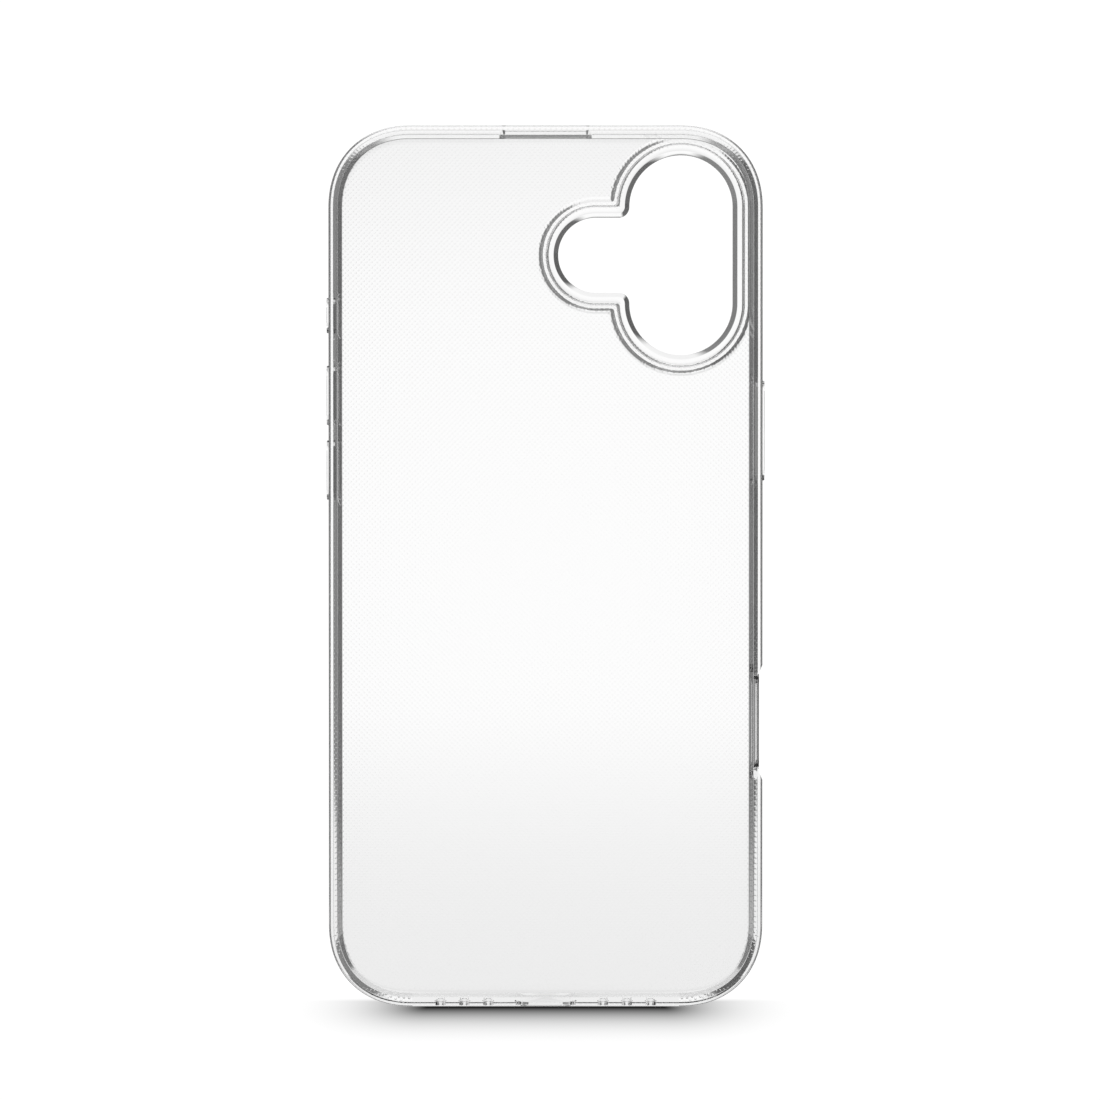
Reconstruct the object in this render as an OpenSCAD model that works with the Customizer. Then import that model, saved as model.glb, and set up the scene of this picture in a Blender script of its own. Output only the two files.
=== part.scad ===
// Clear flexible phone case, drawn upright and seen from its open side.
// Upright frame: +X width, +Y towards the back of the case, +Z height, origin under the middle.
// Every piece is drawn lying on its back, open side up, and then stood up by upright().

/* [Body] */
// Outside width across the side walls, without the buttons
body_w = 80.6; // [70:0.1:90]
// Outside height, bottom edge to top edge
body_h = 163.7; // [140:0.1:180]
// Depth from the front lip to the back face
body_d = 10.3; // [9:0.1:13]
// Outside corner radius, seen from the front
corner_r = 14.3; // [12:0.1:18]
// Side wall thickness
wall_t = 1.4; // [1:0.1:2]
// Back panel thickness
back_t = 1.0; // [0.8:0.1:2]
// Width of the front lip, from the outside face to its inner edge
lip_w = 2.5; // [1.8:0.01:3]
// Thickness of the front lip
lip_t = 1.5; // [0.6:0.1:2]
// Distance from the outside face to where the lip starts to slope down
lip_ridge = 0.9; // [0.6:0.1:2]
// Drop of that slope at the lip's inner edge
lip_drop = 0.75; // [0:0.05:1.2]
// Rounding between the side wall and the back
back_round = 0.4; // [0.3:0.1:3.5]
// Rounding between the side wall and the front lip
front_round = 0.6; // [0.3:0.1:0.9]

/* [Back panel joint] */
// Distance from the outside face to the seam on the inside of the back
seam_in = 2.7; // [2.4:0.1:5]
// Width of the ledge that the back panel is bonded to
ledge_w = 0.9; // [0.5:0.1:2]

/* [Camera opening] */
// Distance from the middle of the case to the middle of the lens opening
lens_x = 25.3; // [15:0.1:30]
// Height of the middle of the camera opening
camera_z = 139.8; // [120:0.1:150]
// Radius of the lens opening's ends
lens_r = 9.65; // [6:0.05:12]
// Half the distance between the lens opening's end centres
lens_half = 9.0; // [6:0.1:12]
// Distance from the lens opening's middle to the flash opening's centre
flash_x = 15.95; // [12:0.05:20]
// Radius of the flash opening
flash_r = 7.0; // [4:0.1:8]
// Height of the guard above the back face
guard_h = 1.6; // [0.8:0.1:2.5]
// Width of the guard's rim
guard_rim = 2.3; // [1:0.1:3]
// Width of the guard at its foot
guard_foot = 3.4; // [2:0.1:3.5]
// Height of the step between the guard's foot and its rim
guard_step = 0.5; // [0.2:0.1:1]
// Thickness of the guard's neck through the back panel
guard_neck = 1.0; // [0.6:0.1:1.8]

/* [Buttons] */
// Height of a button pad across the wall
pad_h = 3.6; // [2:0.1:5]
// How far a pad stands out of the wall
pad_proud = 0.45; // [0.2:0.05:1]
// Gap between a pad and the web around it
pad_gap = 0.3; // [0.15:0.05:0.5]
// Width of the thinned wall around a pad
web_w = 1.1; // [0.6:0.1:2]
// Thickness of that thinned wall
web_t = 0.5; // [0.3:0.1:0.8]
// Height of the action button's middle
action_z = 128.5; // [110:0.1:140]
// Length of the action button
action_l = 6.7; // [4:0.1:10]
// Height of the upper volume button's middle
volume_up_z = 113.6; // [90:0.1:120]
// Height of the lower volume button's middle
volume_down_z = 99.7; // [80:0.1:110]
// Length of each volume button
volume_l = 11.1; // [8:0.1:14]
// Height of the power button's middle
power_z = 107.1; // [90:0.1:120]
// Length of the power button
power_l = 18.6; // [12:0.1:22]

/* [Openings in the walls] */
// Height of the middle of the finger scoop
scoop_z = 52.9; // [40:0.1:70]
// Length of the scoop at the outside face
scoop_l = 21.4; // [16:0.1:26]
// Length of the scoop's flat floor
scoop_floor = 18.4; // [12:0.1:24]
// Depth of the scoop
scoop_t = 0.65; // [0.2:0.05:0.9]
// Height of the window in the scoop
scoop_win = 4.4; // [3:0.1:6]
// Width of the charging port slot
port_w = 11.1; // [9:0.1:14]
// Height of the charging port slot
port_h = 5.0; // [3:0.1:6]
// Number of sound slots on each side of the port
sound_n = 3; // [1:1:5]
// Distance between two sound slots
sound_pitch = 4.45; // [3:0.1:6]
// Distance from the middle to the first sound slot
sound_x = 10.7; // [9:0.1:14]
// Length of a sound slot
sound_l = 1.9; // [1.6:0.1:4]
// Height of a sound slot
sound_h = 1.5; // [1:0.1:3]
// Width of the shallow relief in the top wall
relief_w = 16.3; // [8:0.1:24]
// Depth of that relief
relief_t = 0.3; // [0.1:0.05:0.6]

/* [Hidden] */
$fn = 96;
eps = 0.01;
z_lip = (body_d + guard_h) / 2;       // front edge of the lip, lying down
z_back = z_lip - body_d;              // back face
z_floor = z_back + back_t;            // inside of the back, where the phone rests
z_under = z_lip - lip_t;              // underside of the lip
z_mid = (z_floor + z_under) / 2;      // middle of the phone's thickness
z_rim = z_back - guard_h;             // rearmost edge of the guard
z_half = z_back + back_t / 2;         // face of the bonding ledge
x_out = body_w / 2;
pocket_round = 1.0;
pad_round = 0.35;
inner_lift = 0.45;                    // room for the phone's own key behind a pad
volume_mid = (volume_up_z + volume_down_z) / 2;
volume_win = volume_up_z - volume_down_z + volume_l + 2 * web_w;
clear_soft = [0.90, 0.91, 0.92, 0.5];
clear_hard = [0.95, 0.96, 0.97, 0.4];

module upright() {
    rotate([90, 0, 0]) children();
}

// Rectangle with round corners, from the middle of its bottom edge.
module plate(w, h, r) {
    translate([-w / 2 + r, 0]) square([w - 2 * r, h]);
    translate([-w / 2, r]) square([w, h - 2 * r]);
    for (side = [-1, 1], y = [r, h - r])
        translate([side * (w / 2 - r), y]) circle(r);
}

// A 2D section, with x measured from the corner's centre, carried round the outline.
module around(w, h, r) {
    for (side = [0, 1]) {
        mirror([side, 0, 0]) {
            translate([w / 2 - r, h - r, 0]) rotate([90, 0, 0]) linear_extrude(h - 2 * r) children();
            translate([w / 2 - r, h - r, 0]) rotate_extrude(angle = 90) children();
            translate([w / 2 - r, r, 0]) rotate([0, 0, -90]) rotate_extrude(angle = 90) children();
        }
    }
    translate([r - w / 2, h - r, 0]) rotate([90, 0, 90]) linear_extrude(w - 2 * r) children();
    translate([0, r, 0]) mirror([0, 1, 0]) translate([r - w / 2, 0, 0])
        rotate([90, 0, 90]) linear_extrude(w - 2 * r) children();
}

// Outside of the wall: rounded towards the back and towards the lip.
module wall_outside() {
    inner = corner_r - 5;
    translate([inner, z_back + back_round]) square([5, body_d - back_round - front_round]);
    translate([inner, z_back]) square([5 - back_round, back_round]);
    translate([corner_r - back_round, z_back + back_round]) circle(back_round);
    translate([inner, z_lip - front_round]) square([5 - front_round, front_round]);
    translate([corner_r - front_round, z_lip - front_round]) circle(front_round);
}

// Room for the phone: square pocket with a round inside corner, open above the lip.
module wall_inside() {
    inner = corner_r - 6;
    depth = z_under - z_floor;
    translate([inner, z_floor]) square([6 - wall_t - pocket_round, depth]);
    translate([inner, z_floor + pocket_round]) square([6 - wall_t, depth - 2 * pocket_round]);
    for (z = [z_floor + pocket_round, z_under - pocket_round])
        translate([corner_r - wall_t - pocket_round, z]) circle(pocket_round);
    polygon([[inner, z_under - eps], [corner_r - lip_w, z_under - eps],
             [corner_r - lip_w, z_lip - lip_drop], [corner_r - lip_ridge, z_lip],
             [corner_r - lip_ridge, z_lip + 1], [inner, z_lip + 1]]);
}

module wall_section() {
    difference() {
        wall_outside();
        wall_inside();
        translate([corner_r - 6, z_half]) square([6 - seam_in, body_d]);
        translate([corner_r - 6, z_back - 1]) square([6 - seam_in - ledge_w, body_d]);
    }
}

// Long slot with round ends, cut through a side wall; its middle is at the given height.
module side_slot(len, tall, x0, x1) {
    r = tall / 2;
    translate([x0, 0, 0]) rotate([90, 0, 90]) linear_extrude(x1 - x0) {
        translate([-len / 2 + r, -r]) square([len - tall, tall]);
        for (end = [-1, 1]) translate([end * (len / 2 - r), 0]) circle(r);
    }
}

module end_slot(len, tall) {
    r = tall / 2;
    translate([0, -1, 0]) rotate([-90, 0, 0]) linear_extrude(3 * wall_t) {
        translate([-len / 2 + r, -r]) square([len - tall, tall]);
        for (end = [-1, 1]) translate([end * (len / 2 - r), 0]) circle(r);
    }
}

module finger_scoop() {
    translate([x_out, scoop_z, z_back - 1]) linear_extrude(body_d + 2)
        polygon([[-scoop_t, -scoop_floor / 2], [-scoop_t, scoop_floor / 2],
                 [0, scoop_l / 2], [1, scoop_l / 2], [1, -scoop_l / 2], [0, -scoop_l / 2]]);
    translate([0, scoop_z, z_mid]) side_slot(scoop_floor - 1, scoop_win, x_out - 2, x_out + 1);
}

module soft_frame() {
    color(clear_soft) upright() difference() {
        around(body_w, body_h, corner_r) wall_section();
        for (b = [[-1, action_z, action_l + 2 * web_w], [-1, volume_mid, volume_win],
                  [1, power_z, power_l + 2 * web_w]])
            translate([b[0] * x_out, b[1], z_mid]) side_slot(b[2], pad_h + 2 * web_w, -2.2, 2.2);
        finger_scoop();
        translate([0, 0, z_mid]) end_slot(port_w, port_h);
        for (side = [-1, 1], i = [0 : sound_n - 1])
            translate([side * (sound_x + i * sound_pitch), 0, z_mid]) end_slot(sound_l, sound_h);
        translate([-relief_w / 2, body_h - relief_t, z_mid - 2.6]) cube([relief_w, 1, 5.2]);
    }
}

// The camera opening's outline, grown outwards by g.
module camera_outline(g) {
    translate([lens_x, camera_z]) {
        for (side = [-1, 1]) translate([0, side * lens_half]) circle(lens_r + g);
        translate([-lens_r - g, -lens_half]) square([2 * (lens_r + g), 2 * lens_half]);
        translate([-flash_x, 0]) circle(flash_r + g);
        translate([-flash_x, -flash_r - g]) square([flash_x, 2 * (flash_r + g)]);
        for (side = [-1, 1]) difference() {
            translate([-lens_r - 2, side * (flash_r + 1) - 1]) square([2, 2]);
            translate([-lens_r - 2, side * lens_half]) circle(2 - g);
        }
    }
}

module back_panel() {
    front_w = body_w - 2 * seam_in;
    rear_in = seam_in + ledge_w;
    color(clear_hard) upright() difference() {
        union() {
            translate([0, seam_in, z_half]) linear_extrude(back_t / 2)
                plate(front_w, body_h - 2 * seam_in, corner_r - seam_in);
            translate([0, rear_in, z_back]) linear_extrude(back_t / 2)
                plate(body_w - 2 * rear_in, body_h - 2 * rear_in, corner_r - rear_in);
        }
        translate([0, 0, z_back - 1]) linear_extrude(back_t + 2) camera_outline(guard_neck);
    }
}

// Section of the guard: x runs outwards from the edge of the opening.
module guard_section(x0) {
    edge = 0.35;
    translate([x0, 0]) polygon([
        [0, z_floor], [guard_neck, z_floor], [guard_neck, z_back], [guard_foot, z_back],
        [guard_foot - edge, z_back - guard_step], [guard_rim, z_back - guard_step],
        [guard_rim, z_rim + edge], [guard_rim - edge, z_rim], [edge, z_rim], [0, z_rim + edge]]);
}

module camera_guard() {
    color(clear_soft) upright() translate([lens_x, camera_z, 0]) {
        for (side = [0, 1]) mirror([0, side, 0]) {
            translate([0, lens_half, 0]) rotate_extrude(angle = 180) guard_section(lens_r);
            translate([-lens_r - 2, lens_half, 0]) rotate([0, 0, -90]) rotate_extrude(angle = 90)
                intersection() {
                    mirror([1, 0]) guard_section(-2);
                    translate([0, z_rim]) square([2, back_t + guard_h]);
                }
            translate([-flash_x, 0, 0]) rotate([90, 0, 90])
                linear_extrude(flash_x - lens_r - 2) guard_section(flash_r);
        }
        translate([0, lens_half, 0]) rotate([90, 0, 0]) linear_extrude(2 * lens_half) guard_section(lens_r);
        translate([-flash_x, 0, 0]) rotate([0, 0, 90]) rotate_extrude(angle = 180) guard_section(flash_r);
    }
}

// A pad with a round outer edge, pressed along the wall's normal; side is -1 or 1.
module pad(side, z, len) {
    reach = pad_proud + wall_t - inner_lift;
    color(clear_soft) upright() translate([side * (x_out + pad_proud), z, z_mid])
        rotate([0, 0, side > 0 ? 180 : 0]) {
            side_slot(len, pad_h, pad_round, reach);
            side_slot(len - 2 * pad_round, pad_h - 2 * pad_round, 0, pad_round);
            for (end = [-1, 1]) translate([pad_round, end * (len - pad_h) / 2, 0])
                rotate([0, 90, 0]) rotate_extrude() translate([pad_h / 2 - pad_round, 0]) circle(pad_round);
            for (edge = [-1, 1]) translate([pad_round, (len - pad_h) / 2, edge * (pad_h / 2 - pad_round)])
                rotate([90, 0, 0]) cylinder(r = pad_round, h = len - pad_h);
        }
}

// Thinned wall that fills a button window and leaves room round each pad.
module web(side, z, len, pads) {
    x0 = side * (x_out - wall_t / 2) - web_t / 2;
    color(clear_soft) upright() difference() {
        translate([0, z, z_mid]) side_slot(len, pad_h + 2 * web_w, x0, x0 + web_t);
        for (p = pads) translate([0, p[0], z_mid])
            side_slot(p[1] + 2 * pad_gap, pad_h + 2 * pad_gap, x0 - 1, x0 + web_t + 1);
    }
}

soft_frame();
back_panel();
camera_guard();
pad(-1, action_z, action_l);  // action_button
pad(-1, volume_up_z, volume_l);  // volume_up_button
pad(-1, volume_down_z, volume_l);  // volume_down_button
pad(1, power_z, power_l);  // power_button
web(-1, action_z, action_l + 2 * web_w, [[action_z, action_l]]);  // action_web
web(-1, volume_mid, volume_win, [[volume_up_z, volume_l], [volume_down_z, volume_l]]);  // volume_web
web(1, power_z, power_l + 2 * web_w, [[power_z, power_l]]);  // power_web
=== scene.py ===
"""Looks of the clear phone case: one smooth moulded skin, split into its regions, in a plain white studio."""
import math

import bmesh
import bpy
import numpy as np
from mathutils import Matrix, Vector


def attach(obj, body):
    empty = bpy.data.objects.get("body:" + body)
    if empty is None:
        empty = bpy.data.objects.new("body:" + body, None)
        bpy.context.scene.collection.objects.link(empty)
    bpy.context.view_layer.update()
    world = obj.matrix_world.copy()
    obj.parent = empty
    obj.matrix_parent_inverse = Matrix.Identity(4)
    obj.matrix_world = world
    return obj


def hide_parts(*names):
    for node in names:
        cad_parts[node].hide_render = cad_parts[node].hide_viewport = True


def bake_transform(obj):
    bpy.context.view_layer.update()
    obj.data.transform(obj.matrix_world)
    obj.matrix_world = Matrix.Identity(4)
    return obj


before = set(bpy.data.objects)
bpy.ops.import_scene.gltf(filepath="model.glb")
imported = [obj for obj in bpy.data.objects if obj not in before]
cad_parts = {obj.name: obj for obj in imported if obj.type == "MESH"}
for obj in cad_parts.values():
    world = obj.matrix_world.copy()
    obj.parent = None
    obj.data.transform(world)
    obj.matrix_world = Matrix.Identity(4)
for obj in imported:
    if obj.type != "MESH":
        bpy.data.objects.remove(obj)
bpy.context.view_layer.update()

# ---- sizes in millimetres, the same as the CAD model's ----
HALF_W = 40.3
HEIGHT = 163.7
FRONT, BACK = -5.95, 4.35
FLOOR = 3.35                      # inside face of the back
UNDER = -4.45                     # underside of the lip
MID = -0.55                       # middle of the phone's thickness
WALL = 1.4
LIP = 2.5
BACK_R, FRONT_R, POCKET_R, UNDER_R, NOSE_R = 0.25, 0.6, 1.0, 0.15, 0.25
LIP_RIDGE, LIP_DROP = 0.9, 0.75   # where the lip starts to slope inwards, and how far it falls
RIM = BACK + 1.6                  # rearmost edge of the camera guard
CORNER, CORNER_N = 15.4, 2.2      # reach and squareness of the corners
SEAM_FRONT, SEAM_BACK = 3.2, 0.7  # where the frame's skin meets the back panel's
LENS_X, CAMERA_Z = 25.3, 139.8
LENS_R, LENS_HALF = 9.65, 9.0
FLASH_X, FLASH_R = 15.95, 7.0
GUARD_NECK, GUARD_RIM, GUARD_FOOT, GUARD_STEP = 1.0, 2.3, 3.4, 0.5
PAD_H, PAD_PROUD, PAD_EDGE, WEB_W = 3.6, 0.45, 0.07, 1.1
GROOVE = 0.3                      # depth of the outside groove round a pad
ACTION = (128.5, 6.7)
VOLUME_UP = (113.6, 11.1)
VOLUME_DOWN = (99.7, 11.1)
POWER = (107.1, 18.6)
SCOOP_Z, SCOOP_L, SCOOP_FLOOR, SCOOP_T, SCOOP_WIN = 52.9, 21.4, 18.4, 0.65, 4.4
PORT_W, PORT_H = 11.1, 5.0
SOUND_X, SOUND_PITCH, SOUND_N, SOUND_L, SOUND_H = 10.7, 4.45, 3, 1.9, 1.5
RELIEF_W, RELIEF_H, RELIEF_T = 16.3, 5.2, 0.3
RELIEF_LIP = 0.43                 # how much further the lip falls over the relief
DOT_PITCH = 1.0
SHARP_ANGLE = 28                  # degrees between faces from which an edge is shown sharp

# ---- the room: brightness by direction, and the reach in metres of the painted contact shadow and of the painted bright strip on the floor ----
DIRECT = 1.06                         # backdrop and floor as the camera sees them directly
WALL_TONE, WALL_FADE, WALL_HIGH = 1.03, 0.83, 1.02
WALL_EDGE, WALL_TOP = (0.06, 0.18), (0.33, 0.38)
ROOF_TONE, ROOF_EDGE = 1.3, (0.8, 0.93)
BESIDE_TONE, BESIDE_EDGE = 0.88, (0.86, 0.95)      # far to the sides
BEFORE_TONE, BEFORE_EDGE = 0.80, (0.58, 0.70)      # in front
LEFT_TONE, RIGHT_TONE = 0.09, 0.20
# painted shade: the floor's glow seen through the case is dimmest just behind it, brightening to WALL_TONE
# further back
FLOOR_NEAR = 0.875
SHADOW_SIDE, SHADOW_FRONT, SHADOW_BACK = 0.010, 0.0283, 0.004
SHADOW_HALF, SHADOW_FORE, SHADOW_AFT = 0.022, 0.008, 0.003   # full to here: aside, in front, behind
SHADOW_DEPTH, SHADOW_POWER = 0.985, 1.25
LIT_STRIP_HALF = 0.04                     # half the width of the floor's painted bright strip, beside the case
MM = 0.001

# ---- the camera: distance in metres, tilt in degrees, framing in millimetres at the case ----
CAMERA_AWAY, CAMERA_TILT = 1.3, 1.5
FRAME_W, AIM_RIGHT, AIM_UP = 205.216, 0.82086, 2.93832


def smooth(a, b, x):
    t = np.clip((np.asarray(x, float) - a) / (b - a), 0, 1)
    return t * t * (3 - 2 * t)


def stadium(a, b, length, tall):
    """Distance to a slot's edge, negative inside; a runs along the slot and b across it."""
    core = np.maximum(np.abs(a) - (length - tall) / 2, 0)
    return np.hypot(core, b) - tall / 2


# ---- the outline, seen from the open side: points and outward normals in x and z ----
def spaced(a, b, fine, step_fine=0.12, step_coarse=2.0):
    """Stations from a to b, close together inside the (low, high) ranges of fine."""
    out, x = [a], a
    while x < b - 1e-6:
        step = step_coarse
        for lo, hi in fine:
            if lo <= x < hi:
                step = step_fine
            elif x < lo < x + step:
                step = lo - x
        x = min(x + max(step, 1e-3), b)
        out.append(x)
    return out


def corner_arc(steps=40):
    """One corner from its upright side round to its level side, as offsets and normals."""
    out = []
    for i in range(steps + 1):
        t = math.pi / 2 * i / steps
        c, s = max(math.cos(t), 1e-9), max(math.sin(t), 1e-9)
        x, z = c ** (2 / CORNER_N), s ** (2 / CORNER_N)
        nx, nz = x ** (CORNER_N - 1), z ** (CORNER_N - 1)
        n = math.hypot(nx, nz)
        out.append((x * CORNER, z * CORNER, nx / n, nz / n))
    return out


def outline():
    inx, top = HALF_W - CORNER, HEIGHT - CORNER
    edge = WEB_W + 0.8
    right_fine = [(SCOOP_Z - SCOOP_L / 2 - 1, SCOOP_Z + SCOOP_L / 2 + 1),
                  (POWER[0] - POWER[1] / 2 - edge, POWER[0] + POWER[1] / 2 + edge)]
    left_fine = [(VOLUME_DOWN[0] - VOLUME_DOWN[1] / 2 - edge, ACTION[0] + ACTION[1] / 2 + edge)]
    top_fine = [(-RELIEF_W / 2 - 1, -RELIEF_W / 2 + 1), (RELIEF_W / 2 - 1, RELIEF_W / 2 + 1)]
    arc = corner_arc()
    pts = [(HALF_W, z, 1, 0) for z in spaced(CORNER, top, right_fine)]
    pts += [(inx + x, top + z, nx, nz) for x, z, nx, nz in arc[1:]]
    pts += [(-x, HEIGHT, 0, 1) for x in spaced(-inx, inx, top_fine)[1:]]
    pts += [(-inx - x, top + z, -nx, nz) for x, z, nx, nz in arc[::-1][1:]]
    pts += [(-HALF_W, z, -1, 0) for z in spaced(CORNER, top, left_fine)[::-1][1:]]
    pts += [(-inx - x, CORNER - z, -nx, -nz) for x, z, nx, nz in arc[1:]]
    pts += [(x, 0, 0, -1) for x in spaced(-inx, inx, [])[1:]]
    pts += [(inx + x, CORNER - z, nx, -nz) for x, z, nx, nz in arc[::-1][1:-1]]
    return np.array(pts)


def fillet(before, corner, after, r, steps):
    """Points of an arc of radius r that rounds a corner between two neighbours."""
    c = np.array(corner, float)
    d1 = np.array(before, float) - c
    d2 = np.array(after, float) - c
    d1, d2 = d1 / np.linalg.norm(d1), d2 / np.linalg.norm(d2)
    half = math.acos(float(np.clip(d1 @ d2, -1, 1))) / 2
    mid = (d1 + d2) / np.linalg.norm(d1 + d2)
    centre = c + mid * (r / math.sin(half))
    a, b = c + d1 * (r / math.tan(half)) - centre, c + d2 * (r / math.tan(half)) - centre
    span = math.pi - 2 * half
    out = []
    for t in np.linspace(0, 1, steps + 1):
        v = (a * math.sin((1 - t) * span) + b * math.sin(t * span)) / math.sin(span)
        out.append(tuple(centre + v))
    return out


def wall_section():
    """The wall's skin from the seam inside, over the lip, to the seam on the back: (inward, depth, role)."""
    corners = [(SEAM_FRONT, FLOOR, 0, 0, "floor"), (WALL, FLOOR, POCKET_R, 8, "pocket"),
               (WALL, UNDER, UNDER_R, 5, "under"), (LIP, UNDER, 0.2, 5, "nose"),
               (LIP, FRONT + LIP_DROP, NOSE_R, 7, "nose"), (LIP_RIDGE, FRONT, 0.5, 4, "nose"),
               (0, FRONT, FRONT_R, 12, "front"), (0, BACK, BACK_R, 10, "back"),
               (SEAM_BACK, BACK, 0, 0, "seam")]
    pad = (PAD_H / 2, PAD_H / 2 + WEB_W)
    offsets = (-PAD_EDGE, -0.045, -0.012, 0.012)
    edges = [MID + side * (e + d) for side in (-1, 1) for e in pad for d in offsets]
    edges += list(MID + np.arange(-3.0, 3.01, 0.1))
    out = []
    for i, (u, y, r, steps, role) in enumerate(corners):
        pts = [(u, y)] if r == 0 else fillet(corners[i - 1][:2], (u, y), corners[i + 1][:2], r, steps)
        if out and abs(out[-1][0] - pts[0][0]) < 1e-6 and abs(out[-1][1] - pts[0][1]) > 4:
            y0, y1 = out[-1][1], pts[0][1]
            side = "inner" if y1 < y0 else "outer"
            run = list(np.linspace(y0, y1, 34)[1:-1]) + (edges if side == "outer" else [])
            run.sort(reverse=bool(y1 < y0))
            for v in run:
                if min(y0, y1) + 0.02 < v < max(y0, y1) - 0.02 and abs(v - out[-1][1]) > 0.012:
                    out.append((u, v, side))
        out += [(a, b, role) for a, b in pts]
    return out


VOLUME_MID = (VOLUME_UP[0] + VOLUME_DOWN[0]) / 2
VOLUME_SPAN = VOLUME_UP[0] - VOLUME_DOWN[0] + VOLUME_UP[1]
SIDE_WINDOWS = {                  # side, middle height, length and pads of each thinned window
    "action": (-1, ACTION[0], ACTION[1] + 2 * WEB_W, [ACTION]),
    "volume": (-1, VOLUME_MID, VOLUME_SPAN + 2 * WEB_W, [VOLUME_UP, VOLUME_DOWN]),
    "power": (1, POWER[0], POWER[1] + 2 * WEB_W, [POWER]),
}


def shaped(x, y, z, role, u):
    """Moves wall points in for grooves, the scoop and the relief, and out for the pads."""
    side = np.sign(x)
    straight = (z > CORNER) & (z < HEIGHT - CORNER) & (np.abs(x) > HALF_W - 4)
    shift = np.zeros_like(x)                       # inwards
    outer = np.isin(role, ("outer", "back", "front"))
    for s, mid, length, pads in SIDE_WINDOWS.values():
        here = straight & (side == s)
        win = stadium(z - mid, y - MID, length, PAD_H + 2 * WEB_W)
        depth = np.where(win < 0, GROOVE, 0.0)
        proud = np.zeros_like(x)
        for pz, pl in pads:
            d = stadium(z - pz, y - MID, pl, PAD_H)
            edge = np.clip(d, -PAD_EDGE, 0)
            rise = GROOVE + PAD_PROUD - PAD_EDGE + np.sqrt(PAD_EDGE ** 2 - (edge + PAD_EDGE) ** 2)
            proud = np.maximum(proud, np.where(d < 0, rise, 0.0))
        level = np.minimum(np.abs(x), HALF_W - depth) + proud
        shift = np.where(here & outer & (win < 0), np.abs(x) - level, shift)
    # the finger scoop trims everything outside its floor
    t = SCOOP_T * np.clip((SCOOP_L / 2 - np.abs(z - SCOOP_Z)) / ((SCOOP_L - SCOOP_FLOOR) / 2), 0, 1)
    cut = np.abs(x) - (HALF_W - t)
    shift = np.where(straight & (side > 0) & outer & (cut > 0) & (t > 0), cut, shift)
    x2 = x - side * shift
    # shallow relief in the top wall
    top = (z > HEIGHT - 4) & (np.abs(x) < HALF_W - CORNER) & outer
    box = np.maximum(np.abs(x) - RELIEF_W / 2, np.abs(y - MID) - RELIEF_H / 2)
    drop = RELIEF_T * smooth(0.0, -0.7, box)
    z2 = np.where(top, np.minimum(z, HEIGHT - drop), z)
    lip = (role == "nose") & (z > HEIGHT - 4) & (u > LIP_RIDGE) & (y < UNDER - 0.25)
    inside = smooth(RELIEF_W / 2 + 0.6, RELIEF_W / 2 - 0.4, np.abs(x))
    extra = RELIEF_LIP * inside * (u - LIP_RIDGE) / (LIP - LIP_RIDGE)
    y2 = np.where(lip, y + extra, y)
    return x2, y2, z2


# ---- camera opening: the same number of points at every growth g, so that rings join into a sweep ----
def camera_ring(g):
    r, f = LENS_R + g, FLASH_R + g
    rf = max(2.0 - g, 0.7)
    cy = f + rf
    cx = -math.sqrt((r + rf) ** 2 - (cy - LENS_HALF) ** 2)
    bend = math.atan2(cy - LENS_HALF, cx)          # direction from the end centre to the fillet's centre
    upper = [(r * math.cos(a), LENS_HALF + r * math.sin(a)) for a in np.linspace(0, bend, 61)]
    turn = np.linspace(bend - math.pi, -math.pi / 2, 13)[1:]
    upper += [(cx + rf * math.cos(a), cy + rf * math.sin(a)) for a in turn]
    upper += [(x, f) for x in np.linspace(cx, -FLASH_X, 8)[1:]]
    end = np.linspace(math.pi / 2, math.pi, 31)[1:]
    upper += [(-FLASH_X + f * math.cos(a), f * math.sin(a)) for a in end]
    lower = [(x, -z) for x, z in upper[::-1]]
    side = [(r, z) for z in np.linspace(-LENS_HALF, LENS_HALF, 10)[1:-1]]
    pts = np.array(upper + lower[1:] + side)
    return pts + (LENS_X, CAMERA_Z)


def inside_limit(points, rim, path, inset):
    """Pulls points back towards the rim until they are at least inset inside the outline."""
    out = []
    for p, q in zip(points, rim):
        lo, hi = 0.0, 1.0
        if np.min(np.hypot(path[:, 0] - p[0], path[:, 1] - p[1])) < inset:
            for _ in range(18):
                m = (lo + hi) / 2
                c = q + (p - q) * m
                near = np.min(np.hypot(path[:, 0] - c[0], path[:, 1] - c[1]))
                lo, hi = (m, hi) if near >= inset else (lo, m)
            out.append(q + (p - q) * lo)
        else:
            out.append(p)
    return np.array(out)


def guard_section():
    """The guard's skin from the floor inside, over the rim to the back: (growth, depth)."""
    corners = [(GUARD_NECK + 0.6, FLOOR, 0), (0.85, FLOOR, 0.35), (0.0, FLOOR + 0.5, 0.12), (0.0, RIM, 0.5),
               (GUARD_RIM, RIM, 0.6), (GUARD_RIM - 0.05, BACK + GUARD_STEP, 0.14),
               (GUARD_FOOT - 0.5, BACK + GUARD_STEP, 0.1), (GUARD_FOOT + 0.03, BACK + 0.06, 1.0),
               (GUARD_FOOT + 0.5, BACK, 0)]
    out = []
    for i, (g, y, r) in enumerate(corners):
        out += [(g, y)] if r == 0 else fillet(corners[i - 1][:2], (g, y), corners[i + 1][:2], r, 7)
    return out


class Skin:
    """Collects faces by piece name over shared points, so that neighbouring pieces meet exactly."""

    def __init__(self):
        self.verts, self.faces, self.tags = [], [], []

    def ring(self, points):
        first = len(self.verts)
        self.verts += [tuple(p) for p in points]
        return list(range(first, len(self.verts)))

    def band(self, a, b, tag):
        n = len(a)
        for i in range(n):
            j = (i + 1) % n
            self.faces.append((a[i], a[j], b[j], b[i]))
            self.tags.append(tag)


TAGS = ["soft_frame", "back_panel", "camera_guard"]


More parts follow.
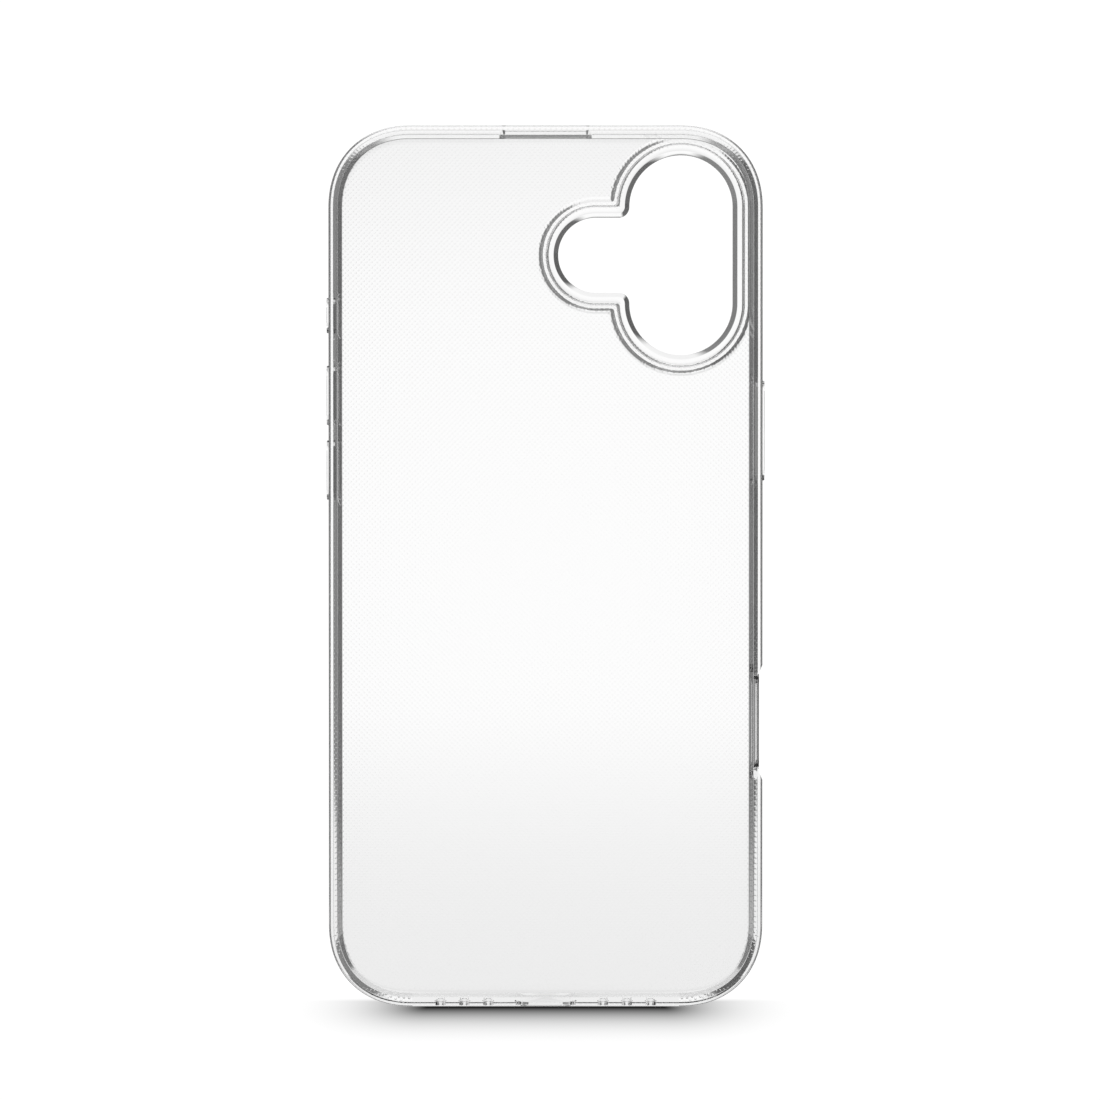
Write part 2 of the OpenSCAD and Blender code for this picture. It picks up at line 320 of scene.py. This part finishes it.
def build_skin():
    path = outline()
    px, pz, nx, nz = path.T
    section = wall_section()
    skin = Skin()
    rings = []
    for u, y, role in section:
        x, z = px - nx * u, pz - nz * u
        x2, y2, z2 = shaped(x, np.full_like(x, y), z, np.full(len(x), role), u)
        rings.append(skin.ring(np.stack([x2, y2, z2], 1)))
    for a, b in zip(rings, rings[1:]):
        skin.band(a, b, "soft_frame")
    rim = camera_ring(1.0)
    guard = []
    for g, y in guard_section():
        pts = camera_ring(g)
        if g > 1.2:
            pts = inside_limit(pts, rim, path, SEAM_BACK + 0.12)
        guard.append(skin.ring(np.stack([pts[:, 0], np.full(len(pts), y), pts[:, 1]], 1)))
    for a, b in zip(guard, guard[1:]):
        skin.band(a, b, "camera_guard")
    return skin, rings[0], rings[-1], guard[0], guard[-1]


def fill(bm, loops, verts):
    edges = []
    for loop in loops:
        n = len(loop)
        for i in range(n):
            a, b = verts[loop[i]], verts[loop[(i + 1) % n]]
            edges.append(bm.edges.get((a, b)) or bm.edges.new((a, b)))
    made = bmesh.ops.triangle_fill(bm, use_beauty=True, use_dissolve=False, edges=edges)
    return [f for f in made["geom"] if isinstance(f, bmesh.types.BMFace)]


def shell_mesh():
    skin, seam_in, seam_out, hole_in, hole_out = build_skin()
    bm = bmesh.new()
    tag = bm.faces.layers.int.new("piece")
    vs = [bm.verts.new(Vector(v) * MM) for v in skin.verts]
    bm.verts.ensure_lookup_table()
    for f, t in zip(skin.faces, skin.tags):
        face = bm.faces.new([vs[i] for i in f])
        face[tag] = TAGS.index(t)
        face.smooth = True
    for a, b in ((seam_in, hole_in), (seam_out, hole_out)):
        for f in fill(bm, (a, b), vs):
            f[tag] = TAGS.index("back_panel")
            f.smooth = True
    bmesh.ops.recalc_face_normals(bm, faces=bm.faces)
    me = bpy.data.meshes.new("shell")
    bm.to_mesh(me)
    bm.free()
    return me


def slot_cutter(name, length, tall, levels, place):
    """A cutter lofted through slot outlines; levels are (distance along the hole, growth)."""
    bm = bmesh.new()
    rings = []
    for w, g in levels:
        r = tall / 2 + g
        half = (length - tall) / 2
        pts = [(half + r * math.sin(a), r * math.cos(a)) for a in np.linspace(0, math.pi, 25)]
        pts += [(-half - r * math.sin(a), -r * math.cos(a)) for a in np.linspace(0, math.pi, 25)]
        rings.append([bm.verts.new(Vector(place(a, b, w)) * MM) for a, b in pts])
    for a, b in zip(rings, rings[1:]):
        for i in range(len(a)):
            j = (i + 1) % len(a)
            bm.faces.new((a[i], a[j], b[j], b[i]))
    bm.faces.new(rings[0])
    bm.faces.new(rings[-1])
    bmesh.ops.recalc_face_normals(bm, faces=bm.faces)
    me = bpy.data.meshes.new(name)
    bm.to_mesh(me)
    bm.free()
    ob = bpy.data.objects.new(name, me)
    bpy.context.scene.collection.objects.link(ob)
    return ob


def hole_levels(lo, hi, edge=0.22):
    """Straight hole between lo and hi whose two mouths are rounded."""
    turns = [math.sin(a) for a in (0, 0.35, 0.8, 1.57)]
    steps = [(edge * t, edge - edge * t * (2 - t)) for t in turns]
    out = [(lo - 0.8, edge)] + [(lo + w, g) for w, g in steps]
    return out + [(hi - w, g) for w, g in steps[::-1]] + [(hi + 0.8, edge)]


def cut_holes(ob):
    cutters = []
    low = hole_levels(0.0, WALL)
    cutters.append(slot_cutter("cut_port", PORT_W, PORT_H, low, lambda a, b, w: (a, MID + b, w)))
    for side in (-1, 1):
        for i in range(SOUND_N):
            x = side * (SOUND_X + i * SOUND_PITCH)
            cutters.append(slot_cutter("cut_sound", SOUND_L, SOUND_H, hole_levels(0.0, WALL, 0.15),
                                       lambda a, b, w, x=x: (x + a, MID + b, w)))
    wall = hole_levels(HALF_W - WALL, HALF_W - SCOOP_T)
    cutters.append(slot_cutter("cut_scoop", SCOOP_FLOOR - 1, SCOOP_WIN, wall,
                               lambda a, b, w: (w, MID + b, SCOOP_Z + a)))
    for c in cutters:
        mod = ob.modifiers.new(c.name, "BOOLEAN")
        mod.operation, mod.object, mod.solver = "DIFFERENCE", c, "EXACT"
    dg = bpy.context.evaluated_depsgraph_get()
    me = bpy.data.meshes.new_from_object(ob.evaluated_get(dg))
    ob.modifiers.clear()
    ob.data = me
    for c in cutters:
        bpy.data.objects.remove(c)


def region(x, y, z):
    """Name of the button or web that a point on a side wall belongs to, or None."""
    for name, (s, mid, length, pads) in SIDE_WINDOWS.items():
        if s * x < HALF_W - WALL - 0.02 or s * x > HALF_W + 1:
            continue
        if stadium(z - mid, y - MID, length, PAD_H + 2 * WEB_W) > 0.25:
            continue
        if s * x > HALF_W - 0.7:
            for i, (pz, pl) in enumerate(pads):
                if stadium(z - pz, y - MID, pl, PAD_H) < 0.3:
                    return {"action": "action_button", "power": "power_button"}.get(
                        name, ("volume_up_button", "volume_down_button")[i])
        return name + "_web"
    return None


def split(ob):
    """One object for each region of the skin; neighbours share their edge points."""
    me = ob.data
    layer = me.attributes.get("piece")
    groups = {}
    for p in me.polygons:
        c = p.center / MM
        tag = TAGS[layer.data[p.index].value]
        if tag == "soft_frame":
            tag = region(c.x, c.y, c.z) or tag
        groups.setdefault(tag, []).append(p.index)
    out = {}
    for tag, polys in groups.items():
        used, index, faces = [], {}, []
        for pi in polys:
            face = []
            for v in me.polygons[pi].vertices:
                if v not in index:
                    index[v] = len(used)
                    used.append(v)
                face.append(index[v])
            faces.append(face)
        part = bpy.data.meshes.new("case_" + tag)
        part.from_pydata([me.vertices[v].co for v in used], [], faces)
        part.update()
        part.polygons.foreach_set("use_smooth", [me.polygons[pi].use_smooth for pi in polys])
        o = bpy.data.objects.new("case_" + tag, part)
        bpy.context.scene.collection.objects.link(o)
        part.set_sharp_from_angle(angle=math.radians(SHARP_ANGLE))
        out[tag] = o
    return out


# ---- materials ----
def new_material(name):
    m = bpy.data.materials.new(name)
    m.use_nodes = True
    nt = m.node_tree
    return m, nt, nt.nodes["Principled BSDF"]


def math_node(nt, op, a, b=None, c=None):
    n = nt.nodes.new("ShaderNodeMath")
    n.operation = op
    for i, v in enumerate((a, b, c)):
        if v is None:
            continue
        if isinstance(v, (int, float)):
            n.inputs[i].default_value = v
        else:
            nt.links.new(v, n.inputs[i])
    return n.outputs[0]


def step_node(nt, v, lo, hi, a, b):
    """Smooth change from a to b as v goes from lo to hi."""
    n = nt.nodes.new("ShaderNodeMapRange")
    n.interpolation_type = "SMOOTHSTEP"
    for key, val in (("From Min", lo), ("From Max", hi), ("To Min", a), ("To Max", b)):
        n.inputs[key].default_value = val
    nt.links.new(v, n.inputs["Value"])
    return n.outputs[0]


def direct_or(nt, seen, through):
    """One brightness for what the camera sees directly, another for what shines through the case."""
    path = nt.nodes.new("ShaderNodeLightPath")
    gap = math_node(nt, "SUBTRACT", seen, through)
    return math_node(nt, "MULTIPLY_ADD", gap, path.outputs["Is Camera Ray"], through)


def around(nt, x, y):
    """Brightness far to the sides and in front, so that the case stays clear from every side."""
    flat = math_node(nt, "SQRT", math_node(nt, "MULTIPLY_ADD", x, x, math_node(nt, "MULTIPLY", y, y)))
    flat = math_node(nt, "MAXIMUM", flat, 0.001)
    aside = math_node(nt, "DIVIDE", math_node(nt, "ABSOLUTE", x), flat)
    wide = step_node(nt, aside, *BESIDE_EDGE, 0.0, BESIDE_TONE)
    near = math_node(nt, "DIVIDE", math_node(nt, "SUBTRACT", 0.0, y), flat)
    return math_node(nt, "MAXIMUM", wide, step_node(nt, near, *BEFORE_EDGE, 0.0, BEFORE_TONE))


def dot_field(nt, x, z, pitch, shift):
    """Distance to the nearest point of a square lattice, in pitches."""
    out = []
    for v in (x, z):
        s = math_node(nt, "ADD", math_node(nt, "DIVIDE", v, pitch), shift)
        f = math_node(nt, "FRACT", s)
        out.append(math_node(nt, "SUBTRACT", f, 0.5))
    across, along = [math_node(nt, "MULTIPLY", v, v) for v in out]
    return math_node(nt, "SQRT", math_node(nt, "ADD", across, along))


def clear_material(name, roughness, dots=False, dots_from=-1.0):
    """Clear plastic with fine mould noise; dots adds the staggered lattice behind the depth dots_from."""
    m, nt, bsdf = new_material(name)
    bsdf.inputs["Base Color"].default_value = (0.97, 0.97, 0.97, 1)
    bsdf.inputs["Transmission Weight"].default_value = 1.0
    bsdf.inputs["IOR"].default_value = 1.49
    coord = nt.nodes.new("ShaderNodeTexCoord")
    noise = nt.nodes.new("ShaderNodeTexNoise")
    noise.inputs["Scale"].default_value = 160
    noise.inputs["Detail"].default_value = 2
    nt.links.new(coord.outputs["Object"], noise.inputs["Vector"])
    rough = math_node(nt, "MULTIPLY_ADD", noise.outputs["Fac"], roughness, roughness * 0.5)
    bump = nt.nodes.new("ShaderNodeBump")
    bump.inputs["Strength"].default_value = 0.05
    bump.inputs["Distance"].default_value = 0.0002
    nt.links.new(noise.outputs["Fac"], bump.inputs["Height"])
    normal = bump.outputs["Normal"]
    if dots:
        sep = nt.nodes.new("ShaderNodeSeparateXYZ")
        nt.links.new(coord.outputs["Object"], sep.inputs["Vector"])
        a = dot_field(nt, sep.outputs["X"], sep.outputs["Z"], DOT_PITCH * MM, 0.0)
        b = dot_field(nt, sep.outputs["X"], sep.outputs["Z"], DOT_PITCH * MM, 0.5)
        near = math_node(nt, "MINIMUM", a, b)
        rise = step_node(nt, near, 0.14, 0.26, 1.0, 0.0)
        rise = math_node(nt, "MULTIPLY", rise, math_node(nt, "GREATER_THAN", sep.outputs["Y"], dots_from))
        rough = math_node(nt, "MULTIPLY_ADD", rise, 0.12, rough)
        dot = nt.nodes.new("ShaderNodeBump")
        dot.inputs["Strength"].default_value = 0.5
        dot.inputs["Distance"].default_value = 0.00003
        nt.links.new(rise, dot.inputs["Height"])
        nt.links.new(normal, dot.inputs["Normal"])
        normal = dot.outputs["Normal"]
    nt.links.new(rough, bsdf.inputs["Roughness"])
    nt.links.new(normal, bsdf.inputs["Normal"])
    return m


# ---- studio ----
def studio():
    me = bpy.data.meshes.new("floor")
    s = 4.0
    me.from_pydata([(-s, -s, 0), (s, -s, 0), (s, s, 0), (-s, s, 0)], [], [(0, 1, 2, 3)])
    floor = bpy.data.objects.new("floor", me)
    bpy.context.scene.collection.objects.link(floor)
    m, nt, bsdf = new_material("floor_white")
    coord = nt.nodes.new("ShaderNodeTexCoord")
    sep = nt.nodes.new("ShaderNodeSeparateXYZ")
    nt.links.new(coord.outputs["Object"], sep.inputs["Vector"])
    # soft contact shadow, thrown forwards from the bottom edge
    ax = math_node(nt, "ABSOLUTE", sep.outputs["X"])
    aside = math_node(nt, "MAXIMUM", math_node(nt, "SUBTRACT", ax, SHADOW_HALF), 0.0)
    dx = math_node(nt, "DIVIDE", aside, SHADOW_SIDE)
    fore = math_node(nt, "SUBTRACT", math_node(nt, "SUBTRACT", 0.0, sep.outputs["Y"]), SHADOW_FORE)
    aft = math_node(nt, "SUBTRACT", sep.outputs["Y"], SHADOW_AFT)
    front = math_node(nt, "DIVIDE", math_node(nt, "MAXIMUM", fore, 0.0), SHADOW_FRONT)
    rear = math_node(nt, "DIVIDE", math_node(nt, "MAXIMUM", aft, 0.0), SHADOW_BACK)
    dy = math_node(nt, "ADD", front, rear)
    t = math_node(nt, "SQRT", math_node(nt, "MULTIPLY_ADD", dx, dx, math_node(nt, "MULTIPLY", dy, dy)))
    fall = math_node(nt, "POWER", t, SHADOW_POWER)
    fade = math_node(nt, "EXPONENT", math_node(nt, "MULTIPLY", fall, -1.0))
    seen = math_node(nt, "SUBTRACT", 1.0, math_node(nt, "MULTIPLY", fade, SHADOW_DEPTH))
    seen = math_node(nt, "MULTIPLY", seen, DIRECT)
    # through the case the floor's glow is painted light and shade: a painted bright strip runs away behind
    # it, and painted shade makes the floor beside it darker
    depth = step_node(nt, sep.outputs["Y"], 0.0, 1.2, FLOOR_NEAR, WALL_TONE)
    reach = math_node(nt, "MAXIMUM", sep.outputs["Y"], 0.03)
    wide = math_node(nt, "DIVIDE", math_node(nt, "SUBTRACT", ax, LIT_STRIP_HALF), reach)
    # painted light: the bright strip behind the case, seen only through it
    lit_strip = step_node(nt, wide, *WALL_EDGE, 1.0, 0.0)
    # painted shade beside the strip, darker on the left than on the right
    beside = step_node(nt, sep.outputs["X"], -0.02, 0.02, LEFT_TONE, RIGHT_TONE)
    beside = math_node(nt, "MAXIMUM", beside, around(nt, sep.outputs["X"], sep.outputs["Y"]))
    # painted shade: the floor's glow seen through the case dims by a tenth right behind it
    close = step_node(nt, sep.outputs["Y"], 0.004, 0.03, 0.9, 1.0)
    through = math_node(nt, "MULTIPLY", math_node(nt, "MULTIPLY", close, depth), lit_strip)
    through = math_node(nt, "MAXIMUM", through, beside)
    before = step_node(nt, sep.outputs["Y"], -0.012, -0.002, BEFORE_TONE, 0.0)
    through = math_node(nt, "MAXIMUM", through, before)
    tone = direct_or(nt, seen, through)
    bsdf.inputs["Base Color"].default_value = (0.0, 0.0, 0.0, 1)
    bsdf.inputs["Roughness"].default_value = 1.0
    bsdf.inputs["Specular IOR Level"].default_value = 0.0
    bsdf.inputs["Emission Color"].default_value = (1, 1, 1, 1)
    nt.links.new(tone, bsdf.inputs["Emission Strength"])
    me.materials.append(m)

    world = bpy.data.worlds.new("studio")
    bpy.context.scene.world = world
    world.use_nodes = True
    nt = world.node_tree
    bg = nt.nodes["Background"]
    bg.inputs["Color"].default_value = (1, 1, 1, 1)
    coord = nt.nodes.new("ShaderNodeTexCoord")
    sep = nt.nodes.new("ShaderNodeSeparateXYZ")
    nt.links.new(coord.outputs["Generated"], sep.inputs["Vector"])
    x, y, z = sep.outputs["X"], sep.outputs["Y"], sep.outputs["Z"]

    ahead = math_node(nt, "MAXIMUM", y, 0.001)
    across = math_node(nt, "DIVIDE", x, ahead)
    up = math_node(nt, "DIVIDE", z, ahead)
    # a white backdrop behind the case, narrow, and a soft light above with a darker gap between them
    behind = step_node(nt, math_node(nt, "ABSOLUTE", across), *WALL_EDGE, 1.0, 0.0)
    level = step_node(nt, up, 0.0, 0.07, WALL_TONE, WALL_FADE)
    level = math_node(nt, "MULTIPLY", level, step_node(nt, up, 0.1, 0.2, 1.0, WALL_HIGH / WALL_FADE))
    below_top = step_node(nt, up, *WALL_TOP, 1.0, 0.0)
    wall = math_node(nt, "MULTIPLY", math_node(nt, "MULTIPLY", behind, level), below_top)
    roof = step_node(nt, z, *ROOF_EDGE, 0.0, ROOF_TONE)
    side = step_node(nt, x, -0.15, 0.15, LEFT_TONE, RIGHT_TONE)
    front = around(nt, x, y)
    lit = math_node(nt, "MAXIMUM", wall, roof)
    through = math_node(nt, "MAXIMUM", math_node(nt, "MAXIMUM", lit, side), front)
    nt.links.new(direct_or(nt, DIRECT, through), bg.inputs["Strength"])
    bpy.context.scene.view_settings.view_transform = "Standard"


def camera():
    cam = bpy.data.cameras.new("camera")
    o = bpy.data.objects.new("camera", cam)
    bpy.context.scene.collection.objects.link(o)
    bpy.context.scene.camera = o
    tilt = math.radians(CAMERA_TILT)
    cam.sensor_width = 36
    cam.lens = 36 * CAMERA_AWAY / (FRAME_W * MM)
    aim = Vector((AIM_RIGHT * MM, 0, (HEIGHT / 2 + AIM_UP) * MM))
    o.location = aim + Vector((0, -math.cos(tilt), math.sin(tilt))) * CAMERA_AWAY
    o.rotation_euler = (aim - o.location).to_track_quat("-Z", "Y").to_euler()
    cam.clip_start, cam.clip_end = 0.01, 50


camera()
shell = bpy.data.objects.new("shell", shell_mesh())
bpy.context.scene.collection.objects.link(shell)
cut_holes(shell)
parts = split(shell)
bpy.data.objects.remove(shell)

soft = clear_material("clear_soft", 0.02, dots=True, dots_from=(FLOOR - 0.1) * MM)
ring = clear_material("clear_ring", 0.02)
back = clear_material("clear_back", 0.02, dots=True)
button = clear_material("clear_button", 0.03)
web = clear_material("clear_web", 0.03)
LOOK = {"soft_frame": ("clear_soft", soft), "back_panel": ("clear_back", back),
        "camera_guard": ("clear_soft", ring)}
BUTTONS = {"action_button": ("action", -1), "volume_up_button": ("volume_up", -1),
           "volume_down_button": ("volume_down", -1), "power_button": ("power", 1)}
for name, ob in parts.items():
    slot, mat = LOOK.get(name, ("clear_button", button) if name in BUTTONS else ("clear_web", web))
    ob.data.materials.append(mat)
    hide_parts(name)
    if name in BUTTONS:
        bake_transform(ob)
    else:
        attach(ob, "case")

studio()
